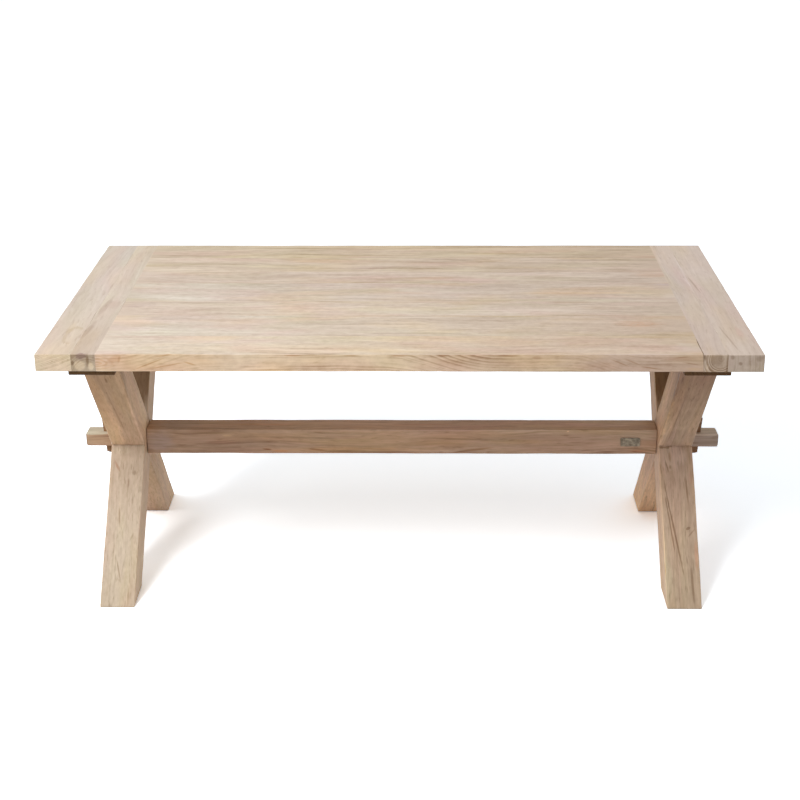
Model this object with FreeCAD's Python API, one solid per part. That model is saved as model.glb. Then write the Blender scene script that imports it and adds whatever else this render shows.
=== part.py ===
# Sawbuck table in solid wood: a plank top with boarded ends, on two X trestles that one stretcher ties together.
# The stretcher passes through both trestles, and a loose wedge outside each of them locks it.
# Millimetres. The origin is on the floor under the middle of the table: X runs along it, Y from front to back, Z up.

import FreeCAD, Part
import math
import os

# Table top: planks from the back edge to the front edge, and two boards across each end.
table_height = 775.0
top_thickness = 45.0
plank_length = 1500.0
plank_1_width = 140.0
plank_2_width = 145.0
plank_3_width = 112.0
plank_4_width = 170.0
plank_5_width = 123.0
plank_6_width = 167.0
plank_7_width = 143.0
end_inner_width = 60.0
end_outer_width = 90.0
top_arris = 1.0
seam_arris = 0.4

# Joints inside the top: a loose tongue along each end, and dowels across the seams.
tongue_width = 30.0
tongue_thickness = 12.0
tongue_end_inset = 50.0
dowel_radius = 5.0
plank_dowel_length = 60.0
plank_dowel_inset = 150.0
plank_dowel_count = 5
end_dowel_length = 46.0
end_dowel_inset = 125.0
end_dowel_count = 6
joint_clearance = 0.2
joint_end_clearance = 0.8

# Battens across the underside, one over each trestle.
batten_width = 118.0
batten_thickness = 25.0
batten_setback = 40.0
batten_arris = 2.0

# Trestles: two square legs, half-lapped where they cross.
trestle_inset = 130.0
leg_width = 95.0
leg_depth = 95.0
leg_lean = 41.5
crossing_height = 350.0
leg_arris = 2.0
foot_arris = 1.5

# Stretcher, with a tenon through each crossing.
stretcher_depth = 75.0
stretcher_height = 75.0
stretcher_arris = 1.5
tenon_depth = 50.0
tenon_height = 38.0
tenon_reach = 80.0
tenon_arris = 4.0
tenon_clearance = 0.2

# Wedges: upright against the leg, sloping outside, in a mortise that starts a little inside the leg's face.
wedge_thickness = 20.0
wedge_tip_width = 25.0
wedge_taper = 5.0
wedge_above_tenon = 43.0
wedge_below_tenon = 28.0
wedge_head_arris = 2.0
wedge_tip_arris = 5.0
wedge_clearance = 0.2
wedge_draw = 5.0

# Screws down through the batten into the legs, and up through the batten into the end boards.
leg_screw_radius = 4.0
leg_screw_head_radius = 7.5
leg_screw_reach = 50.0
leg_screw_pitch = 30.0
top_screw_radius = 2.5
top_screw_head_radius = 5.0
top_screw_reach = 28.0
top_screw_end_inset = 40.0
top_screw_inner_pitch = 200.0
screw_recess_width = 1.2
screw_recess_depth = 1.8
screw_clearance = 0.15

# Bare metal plate on the front of the stretcher, held by two round-headed pins.
plate_length = 55.0
plate_height = 25.0
plate_thickness = 1.5
plate_corner_radius = 3.0
plate_shoulder_distance = 75.5
pin_radius = 1.2
pin_head_radius = 2.2
pin_head_height = 1.0
pin_reach = 12.0
pin_inset = 5.0
pin_clearance = 0.1

# Places that follow from the sizes above.
SLACK = 0.001
plank_widths = (
    plank_1_width,
    plank_2_width,
    plank_3_width,
    plank_4_width,
    plank_5_width,
    plank_6_width,
    plank_7_width,
)
top_half_width = sum(plank_widths) / 2
plank_end = plank_length / 2
end_seam = plank_end + end_inner_width
top_end = end_seam + end_outer_width
top_underside = table_height - top_thickness
top_middle = table_height - top_thickness / 2
tongue_half_length = top_half_width - tongue_end_inset
batten_half_length = top_half_width - batten_setback
leg_top = top_underside - batten_thickness
trestle_x = top_end - trestle_inset
leg_inner_face = trestle_x - leg_width / 2
leg_outer_face = trestle_x + leg_width / 2
tenon_end = leg_outer_face + tenon_reach
lean_angle = math.radians(leg_lean)
wedge_bottom = crossing_height - tenon_height / 2 - wedge_below_tenon
wedge_top = crossing_height + tenon_height / 2 + wedge_above_tenon
wedge_slope = math.tan(math.radians(wedge_taper))
end_board_middle = plank_end + end_inner_width / 2
plate_middle = leg_inner_face - plate_shoulder_distance

ORIGIN = FreeCAD.Vector(0, 0, 0)
X_AXIS = FreeCAD.Vector(1, 0, 0)
Y_AXIS = FreeCAD.Vector(0, 1, 0)
Z_AXIS = FreeCAD.Vector(0, 0, 1)


def block(x_low, x_high, y_low, y_high, z_low, z_high):
    """A box between its lowest and highest corners."""
    corner = FreeCAD.Vector(x_low, y_low, z_low)
    return Part.makeBox(x_high - x_low, y_high - y_low, z_high - z_low, corner)


def ease(shape, arris, wanted):
    """Plane a narrow flat on the sharp edges whose middle point is wanted."""
    edges = [edge for edge in shape.Edges if wanted(edge.CenterOfMass)]
    return shape.makeChamfer(arris, edges)


def near(value, target):
    """Two places are the same place."""
    return abs(value - target) < SLACK


def spread(half_length, inset, count):
    """Places along a line, evenly spaced between its inset ends."""
    start = half_length - inset
    return [-start + 2 * start * index / (count - 1) for index in range(count)]


def mirrored(shape):
    """The same piece on the left half of the table."""
    return shape.mirror(ORIGIN, X_AXIS)


def rod(radius, start, direction, length):
    """A round rod or hole."""
    return Part.makeCylinder(radius, length, start, direction)


def save(node, *solids):
    """Write one node: a single piece, or a group of equal separate pieces."""
    shape = solids[0]
    if len(solids) > 1:
        shape = Part.makeCompound(list(solids))
    shape.exportStep("parts/" + node + ".step")


def tongue_space(clearance):
    """The loose tongue of the right end, or with clearance the groove that holds it."""
    return block(
        plank_end - tongue_width / 2 - clearance,
        plank_end + tongue_width / 2 + clearance,
        -tongue_half_length - clearance,
        tongue_half_length + clearance,
        top_middle - tongue_thickness / 2 - clearance,
        top_middle + tongue_thickness / 2 + clearance,
    )


def plank_seams():
    """Places across the table of the seams between the planks, from back to front."""
    return [top_half_width - sum(plank_widths[:count]) for count in range(1, len(plank_widths))]


def plank_dowels(clearance, end_clearance):
    """Dowels across the plank seams, or with clearance the holes for them."""
    length = plank_dowel_length + 2 * end_clearance
    dowels = []
    for seam in plank_seams():
        for x in spread(plank_end, plank_dowel_inset, plank_dowel_count):
            start = FreeCAD.Vector(x, seam - length / 2, top_middle)
            dowels.append(rod(dowel_radius + clearance, start, Y_AXIS, length))
    return dowels


def end_dowels(clearance, end_clearance):
    """Dowels between the two boards of the right end, or with clearance the holes for them."""
    length = end_dowel_length + 2 * end_clearance
    dowels = []
    for y in spread(top_half_width, end_dowel_inset, end_dowel_count):
        start = FreeCAD.Vector(end_seam - length / 2, y, top_middle)
        dowels.append(rod(dowel_radius + clearance, start, X_AXIS, length))
    return dowels


def wood_screw(radius, head_radius, length, clearance):
    """A countersunk screw pointing down from the origin, or with clearance the hole for it."""
    shank = radius + clearance
    head = head_radius + clearance
    tip = length + clearance
    outline = Part.makePolygon([
        ORIGIN,
        FreeCAD.Vector(head, 0, 0),
        FreeCAD.Vector(shank, 0, shank - head),
        FreeCAD.Vector(shank, 0, shank - tip),
        FreeCAD.Vector(0, 0, -tip),
        ORIGIN,
    ])
    return Part.Face(outline).revolve(ORIGIN, Z_AXIS, 360)


def cross_recess(radius):
    """The cross that a screwdriver turns, cut into a screw's head."""
    width = screw_recess_width / 2
    bar = block(-radius, radius, -width, width, -screw_recess_depth, 0)
    return bar.fuse(block(-width, width, -radius, radius, -screw_recess_depth, 0))


def leg_screws(clearance):
    """Screws of the right trestle, from the batten down into both leg tops, or the holes for them."""
    leg_top_y = (leg_top - crossing_height) * math.tan(lean_angle)
    middle = leg_top_y - leg_screw_reach / 2 * math.tan(lean_angle)
    length = batten_thickness + leg_screw_reach
    screws = []
    for side in (-1, 1):
        for offset in (-leg_screw_pitch / 2, leg_screw_pitch / 2):
            screw = wood_screw(leg_screw_radius, leg_screw_head_radius, length, clearance)
            if clearance == 0:
                screw = screw.cut(cross_recess(leg_screw_radius))
            screw.translate(FreeCAD.Vector(trestle_x, side * middle + offset, top_underside))
            screws.append(screw)
    return screws


def top_screws(clearance):
    """Screws of the right batten, up into the inner end board, or the holes for them."""
    outer = batten_half_length - top_screw_end_inset
    inner = top_screw_inner_pitch / 2
    length = batten_thickness + top_screw_reach
    screws = []
    for y in (-outer, -inner, inner, outer):
        screw = wood_screw(top_screw_radius, top_screw_head_radius, length, clearance)
        if clearance == 0:
            screw = screw.cut(cross_recess(top_screw_radius))
        screw.rotate(ORIGIN, X_AXIS, 180)
        screw.translate(FreeCAD.Vector(end_board_middle, y, leg_top))
        screws.append(screw)
    return screws


def top_plank(index):
    """One plank of the top, its ends grooved for the tongues and its seams drilled for the dowels."""
    y_high = top_half_width - sum(plank_widths[:index])
    y_low = y_high - plank_widths[index]
    board = block(-plank_end, plank_end, y_low, y_high, top_underside, table_height)
    outer_edge = [y for y in (y_low, y_high) if near(abs(y), top_half_width)]
    if outer_edge:
        board = ease(board, top_arris, lambda c: near(c.y, outer_edge[0]) and near(c.x, 0))
    board = ease(board, seam_arris, lambda c: near(c.z, table_height) and not near(abs(c.y), top_half_width))
    groove = tongue_space(joint_clearance)
    holes = plank_dowels(joint_clearance, joint_end_clearance)
    return board.cut([groove, mirrored(groove)] + holes)


def end_inner_board():
    """The board next to the planks at the right end."""
    board = block(plank_end, end_seam, -top_half_width, top_half_width, top_underside, table_height)
    board = ease(board, top_arris, lambda c: near(abs(c.y), top_half_width) and near(c.x, end_board_middle))
    board = ease(board, seam_arris, lambda c: near(c.z, table_height) and near(c.y, 0))
    holes = end_dowels(joint_clearance, joint_end_clearance)
    return board.cut([tongue_space(joint_clearance)] + holes + top_screws(screw_clearance))


def end_outer_board():
    """The outermost board of the right end."""
    board = block(end_seam, top_end, -top_half_width, top_half_width, top_underside, table_height)
    board = ease(board, top_arris, lambda c: c.x > end_seam + SLACK)
    board = ease(board, seam_arris, lambda c: near(c.z, table_height) and near(c.x, end_seam))
    return board.cut(end_dowels(joint_clearance, joint_end_clearance))


def batten():
    """The flat bar that carries the top on the right trestle."""
    low = trestle_x - batten_width / 2
    high = trestle_x + batten_width / 2
    bar = block(low, high, -batten_half_length, batten_half_length, leg_top, top_underside)
    bar = ease(bar, batten_arris, lambda c: c.z < top_underside - SLACK)
    return bar.cut(leg_screws(screw_clearance) + top_screws(screw_clearance))


def leg_bar(turn):
    """One leg of the right trestle as a plain square bar that leans through the crossing."""
    reach = table_height / math.cos(lean_angle)
    bar = block(-leg_width / 2, leg_width / 2, -leg_depth / 2, leg_depth / 2, -reach, reach)
    bar = ease(bar, leg_arris, lambda c: near(c.z, 0))
    bar.rotate(ORIGIN, X_AXIS, turn * leg_lean)
    bar.translate(FreeCAD.Vector(trestle_x, 0, crossing_height))
    return bar


def leg(turn, lap_low, lap_high):
    """One leg cut level at the floor and the batten, halved for the other leg and mortised for the tenon."""
    far = table_height * 2
    between = block(leg_inner_face, leg_outer_face, -far, far, 0, leg_top)
    piece = leg_bar(turn).common(between)
    piece = ease(piece, foot_arris, lambda c: near(c.z, 0))
    lap = leg_bar(-turn).common(block(lap_low, lap_high, -far, far, 0, leg_top))
    mortise_depth = tenon_depth / 2 + tenon_clearance
    mortise_height = tenon_height / 2 + tenon_clearance
    mortise = block(
        leg_inner_face,
        leg_outer_face,
        -mortise_depth,
        mortise_depth,
        crossing_height - mortise_height,
        crossing_height + mortise_height,
    )
    return piece.cut([lap, mortise] + leg_screws(screw_clearance))


def upright(corners, half_thickness):
    """A flat piece of the given outline in the plane of the wedges, thick to both sides of the middle."""
    outline = [FreeCAD.Vector(x, -half_thickness, z) for x, z in corners]
    face = Part.Face(Part.makePolygon(outline + outline[:1]))
    return face.extrude(FreeCAD.Vector(0, 2 * half_thickness, 0))


def wedge_slope_x(z):
    """Where the sloping side of the right wedge is at a height."""
    return leg_outer_face + wedge_tip_width + (z - wedge_bottom) * wedge_slope


def wedge():
    """The loose wedge that locks the tenon outside the right trestle."""
    inner = leg_outer_face + wedge_clearance
    corners = [
        (inner, wedge_bottom),
        (wedge_slope_x(wedge_bottom), wedge_bottom),
        (wedge_slope_x(wedge_top), wedge_top),
        (inner, wedge_top),
    ]
    piece = upright(corners, wedge_thickness / 2)
    piece = ease(piece, wedge_head_arris, lambda c: near(c.z, wedge_top))
    return ease(piece, wedge_tip_arris, lambda c: near(c.z, wedge_bottom))


def wedge_mortise():
    """The slot through the right tenon: a little inside the leg's face, sloping like the wedge outside."""
    low = wedge_bottom
    high = wedge_top
    inner = leg_outer_face - wedge_draw
    corners = [
        (inner, low),
        (wedge_slope_x(low) + wedge_clearance, low),
        (wedge_slope_x(high) + wedge_clearance, high),
        (inner, high),
    ]
    return upright(corners, wedge_thickness / 2 + wedge_clearance)


def centred_bar(half_length, depth, height):
    """A bar along the table through both crossings."""
    return block(
        -half_length,
        half_length,
        -depth / 2,
        depth / 2,
        crossing_height - height / 2,
        crossing_height + height / 2,
    )


def plate_pins(clearance):
    """Round-headed pins at both ends of the plate, or with clearance the holes for them."""
    plate_front = -stretcher_depth / 2 - plate_thickness
    pins = []
    for end in (-1, 1):
        x = plate_middle + end * (plate_length / 2 - pin_inset)
        root = FreeCAD.Vector(x, plate_front, crossing_height)
        length = plate_thickness + pin_reach + clearance
        pin = rod(pin_radius + clearance, root, Y_AXIS, length)
        if clearance == 0:
            head = Part.makeCone(pin_head_radius, pin_radius, pin_head_height, root, -Y_AXIS)
            pin = pin.fuse(head).removeSplitter()
        pins.append(pin)
    return pins


def stretcher():
    """The long rail, its tenons slotted for the wedges and its front drilled for the plate's pins."""
    rail = centred_bar(leg_inner_face, stretcher_depth, stretcher_height)
    rail = ease(rail, stretcher_arris, lambda c: near(c.x, 0))
    tenons = centred_bar(tenon_end, tenon_depth, tenon_height)
    tenons = ease(tenons, tenon_arris, lambda c: near(abs(c.x), tenon_end))
    slot = wedge_mortise()
    return rail.fuse(tenons).removeSplitter().cut([slot, mirrored(slot)] + plate_pins(pin_clearance))


def plate():
    """The bare plate, with rounded corners."""
    front = -stretcher_depth / 2 - plate_thickness
    low = plate_middle - plate_length / 2
    high = plate_middle + plate_length / 2
    bottom = crossing_height - plate_height / 2
    top = crossing_height + plate_height / 2
    sheet = block(low, high, front, front + plate_thickness, bottom, top)
    corners = [edge for edge in sheet.Edges if near(edge.CenterOfMass.y, front + plate_thickness / 2)]
    return sheet.makeFillet(plate_corner_radius, corners).cut(plate_pins(pin_clearance))


os.makedirs("parts", exist_ok=True)

for index in range(len(plank_widths)):
    save("top_plank_" + str(index + 1), top_plank(index))

# The front leg keeps the outer half of the lap, and the back leg the inner half.
right_pieces = {
    "end_inner_board": end_inner_board(),
    "end_outer_board": end_outer_board(),
    "end_tongue": tongue_space(0),
    "batten": batten(),
    "leg_front": leg(-1, leg_inner_face, trestle_x),
    "leg_back": leg(1, trestle_x, leg_outer_face),
    "wedge": wedge(),
}
for name, piece in right_pieces.items():
    save("right_" + name, piece)
    save("left_" + name, mirrored(piece))

right_groups = {
    "end_dowels": end_dowels(0, 0),
    "leg_screws": leg_screws(0),
    "top_screws": top_screws(0),
}
for name, pieces in right_groups.items():
    save(name, *pieces, *[mirrored(piece) for piece in pieces])

save("plank_dowels", *plank_dowels(0, 0))
save("stretcher", stretcher())
save("plate", plate())
save("plate_pins", *plate_pins(0))
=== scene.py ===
import itertools
import math
from dataclasses import dataclass

import bmesh
import bpy
from mathutils import Matrix, Vector, noise


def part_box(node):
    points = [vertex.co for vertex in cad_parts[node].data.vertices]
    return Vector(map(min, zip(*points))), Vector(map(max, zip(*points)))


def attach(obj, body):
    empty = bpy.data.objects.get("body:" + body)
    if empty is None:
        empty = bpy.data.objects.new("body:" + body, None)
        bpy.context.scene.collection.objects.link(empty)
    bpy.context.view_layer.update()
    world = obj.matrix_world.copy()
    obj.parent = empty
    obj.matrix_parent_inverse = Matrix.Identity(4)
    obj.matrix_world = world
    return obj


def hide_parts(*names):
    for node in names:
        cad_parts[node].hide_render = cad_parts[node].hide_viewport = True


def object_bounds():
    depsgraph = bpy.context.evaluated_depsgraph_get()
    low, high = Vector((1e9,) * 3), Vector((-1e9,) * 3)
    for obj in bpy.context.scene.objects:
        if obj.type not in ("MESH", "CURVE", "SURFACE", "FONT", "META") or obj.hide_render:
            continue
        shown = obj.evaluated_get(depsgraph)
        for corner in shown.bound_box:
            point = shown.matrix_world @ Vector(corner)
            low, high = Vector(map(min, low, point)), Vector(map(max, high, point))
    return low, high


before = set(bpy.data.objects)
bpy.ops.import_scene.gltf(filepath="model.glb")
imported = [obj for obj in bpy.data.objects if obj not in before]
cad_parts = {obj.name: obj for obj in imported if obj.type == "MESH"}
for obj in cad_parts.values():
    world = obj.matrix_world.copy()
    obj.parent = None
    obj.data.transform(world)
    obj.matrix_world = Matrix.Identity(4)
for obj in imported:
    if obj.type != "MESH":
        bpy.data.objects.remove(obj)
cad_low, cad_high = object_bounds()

MM = 0.001
X_AXIS = Vector((1, 0, 0))
Y_AXIS = Vector((0, 1, 0))
Z_AXIS = Vector((0, 0, 1))

# Where the photo was taken from
CAMERA_PLACE = Vector((0.0528, -4.1403, 2.0651))
CAMERA_PITCH = math.radians(21.164)
CAMERA_YAW = math.radians(-0.785)
CAMERA_ROLL = math.radians(-0.208)
CAMERA_LENS = 70.667
SENSOR_WIDTH = 36

# Soft light from all round, more of it from behind than from the front
SKY_FRONT = 0.38
SKY_BACK = 0.74
SKY_TURN = 0.8
# The main light, at the front left
MAIN_LIGHT_PLACE = Vector((-2.3, -3.0, 4.1))
MAIN_LIGHT_AIM = Vector((0.0, 0.0, 0.6))
MAIN_LIGHT_SIZE = 1.8
MAIN_LIGHT_WATTS = 185.0
# The floor looks white with a soft shadow, and throws a plain grey back on the table
FLOOR_SIZE = 60.0
FLOOR_GLOW = 0.06
FLOOR_SHADE = (1.69, 1.79, 1.89)
FLOOR_BOUNCE = (0.75, 0.75, 0.75)
WHITE = (1, 1, 1)


def paint(red, green, blue):
    """A colour picked as 0 to 255 values, as the shader takes it."""
    linear = []
    for value in (red, green, blue):
        share = value / 255
        linear.append(share / 12.92 if share < 0.04045 else ((share + 0.055) / 1.055) ** 2.4)
    return tuple(linear)


class Net:
    """A node tree with one short call for each kind of node."""

    def __init__(self, tree):
        self.tree = tree

    def put(self, socket, value):
        """Links a socket or sets a number, a vector or, from a tuple, a colour."""
        if isinstance(value, bpy.types.NodeSocket):
            self.tree.links.new(value, socket)
        elif isinstance(value, tuple):
            socket.default_value = (*value, 1)
        else:
            socket.default_value = value

    def node(self, kind, inputs, **settings):
        made = self.tree.nodes.new(kind)
        for name, value in settings.items():
            setattr(made, name, value)
        for name, value in inputs.items():
            self.put(made.inputs[name], value)
        return made

    def math(self, operation, *values, clamp=False):
        inputs = dict(enumerate(values))
        return self.node("ShaderNodeMath", inputs, operation=operation, use_clamp=clamp).outputs[0]

    def total(self, start, parts):
        """The start plus each part times its share."""
        for part, share in parts:
            start = self.math("MULTIPLY_ADD", part, share, start)
        return start

    def centred(self, value):
        """A value from 0 to 1, moved to lie from -0.5 to 0.5."""
        return self.math("SUBTRACT", value, 0.5)

    def vector(self, operation, *values):
        made = self.node("ShaderNodeVectorMath", dict(enumerate(values)), operation=operation)
        return made.outputs["Value" if operation in ("DOT_PRODUCT", "LENGTH") else "Vector"]

    def combine(self, x, y, z):
        return self.node("ShaderNodeCombineXYZ", {0: x, 1: y, 2: z}).outputs[0]

    def separate(self, value):
        return self.node("ShaderNodeSeparateXYZ", {0: value}).outputs

    def noise(self, point, stretch, detail, roughness):
        """Noise from 0 to 1, with stretch cycles in each metre along the point's axes."""
        place = self.vector("MULTIPLY", point, Vector(stretch))
        inputs = {"Vector": place, "Scale": 1.0, "Detail": detail, "Roughness": roughness}
        return self.node("ShaderNodeTexNoise", inputs).outputs[0]

    def ramp(self, value, low, high, start=0.0, end=1.0):
        inputs = {0: value, 1: low, 2: high, 3: start, 4: end}
        return self.node("ShaderNodeMapRange", inputs, interpolation_type="SMOOTHSTEP").outputs[0]

    def mix(self, share, first, second, blend="MIX"):
        inputs = {0: share, 6: first, 7: second}
        made = self.node("ShaderNodeMix", inputs, data_type="RGBA", blend_type=blend)
        return made.outputs[2]


def empty_material(name):
    """A material without nodes, and the net that fills it."""
    material = bpy.data.materials.new(name)
    material.use_nodes = True
    material.node_tree.nodes.clear()
    return material, Net(material.node_tree)


def add_object(name, data):
    made = bpy.data.objects.new(name, data)
    bpy.context.collection.objects.link(made)
    return made


def make_camera():
    data = bpy.data.cameras.new("camera")
    data.sensor_width = SENSOR_WIDTH
    data.lens = CAMERA_LENS
    camera = add_object("camera", data)
    turn = Matrix.Rotation(-CAMERA_YAW, 4, "Z")
    tip = Matrix.Rotation(math.pi / 2 - CAMERA_PITCH, 4, "X")
    roll = Matrix.Rotation(CAMERA_ROLL, 4, "Z")
    camera.matrix_world = Matrix.Translation(CAMERA_PLACE) @ turn @ tip @ roll
    bpy.context.scene.camera = camera
    bpy.context.scene.view_settings.view_transform = "Standard"


def seen_rays(net):
    """1 for rays that come from the camera or through a mirror or glass, else 0."""
    path = net.node("ShaderNodeLightPath", {}).outputs
    mirrored = net.math("MAXIMUM", path["Is Glossy Ray"], path["Is Transmission Ray"])
    return net.math("MAXIMUM", path["Is Camera Ray"], mirrored)


def make_floor():
    half = FLOOR_SIZE / 2
    corners = [(-half, -half, 0), (half, -half, 0), (half, half, 0), (-half, half, 0)]
    mesh = bpy.data.meshes.new("floor")
    mesh.from_pydata(corners, [], [(0, 1, 2, 3)])
    floor = add_object("floor", mesh)
    material, net = empty_material("floor")
    shade = net.node("ShaderNodeBsdfDiffuse", {"Color": FLOOR_SHADE}).outputs[0]
    glow = net.node("ShaderNodeEmission", {"Color": WHITE, "Strength": FLOOR_GLOW}).outputs[0]
    shown = net.node("ShaderNodeAddShader", {0: shade, 1: glow}).outputs[0]
    plain = net.node("ShaderNodeBsdfDiffuse", {"Color": FLOOR_BOUNCE}).outputs[0]
    mixed = net.node("ShaderNodeMixShader", {0: seen_rays(net), 1: plain, 2: shown})
    net.node("ShaderNodeOutputMaterial", {"Surface": mixed.outputs[0]})
    mesh.materials.append(material)


def make_lights():
    world = bpy.data.worlds.new("sky")
    bpy.context.scene.world = world
    world.use_nodes = True
    world.node_tree.nodes.clear()
    net = Net(world.node_tree)
    heading = net.separate(net.node("ShaderNodeTexCoord", {}).outputs["Generated"])[1]
    level = net.ramp(heading, -SKY_TURN, SKY_TURN, SKY_FRONT, SKY_BACK)
    level = net.math("MAXIMUM", level, seen_rays(net))
    sky = net.node("ShaderNodeBackground", {"Color": WHITE, "Strength": level})
    net.node("ShaderNodeOutputWorld", {"Surface": sky.outputs[0]})
    data = bpy.data.lights.new("main_light", "AREA")
    data.energy = MAIN_LIGHT_WATTS
    data.size = MAIN_LIGHT_SIZE
    lamp = add_object("main_light", data)
    lamp.location = MAIN_LIGHT_PLACE
    lamp.rotation_euler = (MAIN_LIGHT_AIM - MAIN_LIGHT_PLACE).to_track_quat("-Z", "Y").to_euler()
    lamp.visible_camera = False


WOOD_INPUTS = {
    "Vector": ("Middle", "Along", "Across", "Through", "Half", "Seed", "Pith"),
    "Float": (
        "Spacing", "Taper", "Bend", "Fineness", "Shortness", "Rings", "Side Rings", "End Rings", "Streaks",
        "Broad", "Lines", "Flecks", "Ticks", "Calm Ends", "Blotches", "Tints",
    ),
    "Color": ("Light", "Dark", "Start", "Halfway", "Finish", "Side", "End"),
}
WOOD_OUTPUTS = {"Color": ("Colour",), "Float": ("Roughness", "Height"), "Vector": ("Place",)}
# Tints that the wash and the sun leave in the wood; DEEP is also used as painted shade, at the feet's soles
# and along two edges of the stretcher
PLAIN = (1, 1, 1)
PINK = (1.0, 0.935, 0.955)
OLIVE = (0.975, 1.0, 0.94)
YELLOW = (1.02, 0.985, 0.89)
RUST = (1.0, 0.915, 0.86)
MAUVE = (0.97, 0.925, 0.975)
PALE = (1.06, 1.08, 1.11)
STAIN = (0.85, 0.83, 0.81)
DEEP = (0.62, 0.56, 0.50)

# The figures in the wood, each one a noise: its cycles in a metre along and across the grain, its detail,
# its roughness and, so that it follows no other, where in the noise it starts
FIGURES = {
    "bends": (1.6, 7, 1.0, 0.5),
    "waves": (7, 26, 2.0, 0.5),
    "breaks": (3.5, 18, 2.0, 0.5),
    "broad": (2.4, 30, 2.0, 0.5),
    "wide": (4.4, 96, 2.0, 0.5, (4.3, 2.2, 1.1)),
    "middle": (13, 220, 2.0, 0.6),
    "fine": (24, 520, 1.0, 0.6),
    "dark lines": (1.1, 64, 2.0, 0.55, (1.9, 0.6, 3.4)),
    "pale lines": (1.0, 56, 2.0, 0.55, (7.1, 3.3, 0.2)),
    "flecks": (22, 150, 2.0, 0.55, (2.6, 5.2, 4.4)),
    "ticks": (30, 72, 2.0, 0.6, (6.3, 1.4, 2.8)),
    "pores": (40, 1100, 2.0, 0.55),
    "patches": (1.7, 9, 2.0, 0.5),
    "pink": (2.2, 11, 2.0, 0.55, (1.3, 1.3, 1.3)),
    "olive": (2.2, 11, 2.0, 0.55, (2.9, 2.9, 2.9)),
    "yellow": (2.2, 11, 2.0, 0.55, (4.7, 4.7, 4.7)),
    "rims": (22, 90, 2.0, 0.5),
}
# The levels at which a figure starts and is full
LINE_LEVELS = (0.60, 0.72)
FLECK_LEVELS = (0.58, 0.72)
PORE_LEVELS = (0.64, 0.76)
TINT_LEVELS = (0.48, 0.68)
RUB_LEVELS = (0.35, 0.6)
BREAK_LEVELS = (0.36, 0.62)
KNOT_LEVELS = (-0.4, 0.9)
# How squarely a surface faces along or across a piece to be its end or side
FACING_LEVELS = (0.45, 0.75)
# How often the fibres wander in each metre, and how far, in metres
SWAY_CYCLES = Vector((2.2, 8, 8))
SWAY_REACH = Vector((0, 0.05, 0.05))
# How far slow bends and small waves carry the growth rings, in metres
RING_BEND = 0.030
RING_WAVE = 0.007
# How slowly and by how much the rings change in width
WIDTH_CYCLES = 0.33
WIDTH_SWING = 3.0
# The weakest ring, where in a ring its late wood comes and goes, and what is left where it breaks
WEAKEST_RING = 0.2
LATE_RISE = (0.15, 0.85)
LATE_FALL = (1.0, 0.90)
BROKEN_RING = 0.25
# What fibres and pores add to the tone of the ground
GROUND_TONE = 0.20
MIDDLE_SHARE = 0.7
FINE_SHARE = 0.5
PORE_SHARE = 0.10
# How near to its end, in metres, a piece gets calmer, and the tone there
CALM_REACH = (0.09, 0.01)
CALM_TONE = 0.25
# Where along a piece the tints of its ends are full, and how far patches move that
RUN_REACH = 0.9
RUN_SWING = 0.6
# How wide, in metres, how much and in what tint edges are rubbed lighter
RUB_WIDTH = 0.004
RUB_SHARE = 0.15
RUB_TINT = (1, 0.97, 0.92)
# What the figures do to the roughness and the height of the surface
ROUGH_LEVEL = 0.50
ROUGHS = {"middle": 0.25, "ring": -0.10}
HEIGHTS = {"middle": 0.6, "ring": 0.5, "fine": 0.5, "pores": -0.8, "flecks": -0.6}
BUMP_STRENGTH = 0.35
BUMP_DEPTH = 0.0004
WOOD_GLOSS = 0.12
# How far apart the pieces lie in the noise, and how dark the painted shade at a foot's sole is
SEED_STEPS = (3.17, 1.31, 0.77)
SOLE_SHADE_SHARE = 0.85


def figure(net, point, name):
    """One of the figures in the wood, from 0 to 1."""
    along, across, detail, roughness, *shifts = FIGURES[name]
    for shift in shifts:
        point = net.vector("ADD", point, Vector(shift))
    return net.noise(point, (along, across, across), detail, roughness)


def growth_rings(net, given, place, point, side):
    """Dark late wood, from 0 to 1: the distance from the pith, bent along the piece, counts the rings."""
    u, v, w = place
    seed = net.separate(given["Seed"])
    pith = net.separate(given["Pith"])
    off_v = net.math("SUBTRACT", v, pith[1])
    off_w = net.math("SUBTRACT", w, pith[2])
    off_w = net.math("SUBTRACT", off_w, net.math("MULTIPLY", u, given["Taper"]))
    far = net.math("MULTIPLY_ADD", off_v, off_v, net.math("MULTIPLY", off_w, off_w))
    far = net.total(net.math("SQRT", far), (
        (net.centred(figure(net, point, "bends")), RING_BEND),
        (net.centred(figure(net, point, "waves")), RING_WAVE),
        (given["Bend"], side),
    ))
    even = net.math("DIVIDE", far, given["Spacing"])
    inputs = {"W": net.math("MULTIPLY_ADD", even, WIDTH_CYCLES, seed[0]), "Scale": 1.0, "Detail": 1.0}
    uneven = net.node("ShaderNodeTexNoise", inputs, noise_dimensions="1D").outputs[0]
    count = net.math("MULTIPLY_ADD", uneven, WIDTH_SWING, even)
    part = net.math("FRACT", count)
    which = net.math("ADD", net.math("FLOOR", count), seed[1])
    force = net.node("ShaderNodeTexWhiteNoise", {"W": which}, noise_dimensions="1D").outputs[0]
    force = net.math("MULTIPLY_ADD", force, 1 - WEAKEST_RING, WEAKEST_RING)
    late = net.math("MULTIPLY", net.ramp(part, *LATE_RISE), net.ramp(part, *LATE_FALL))
    broken = net.ramp(figure(net, point, "breaks"), *BREAK_LEVELS, BROKEN_RING, 1.0)
    return net.math("MULTIPLY", net.math("MULTIPLY", late, force), broken)


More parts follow.
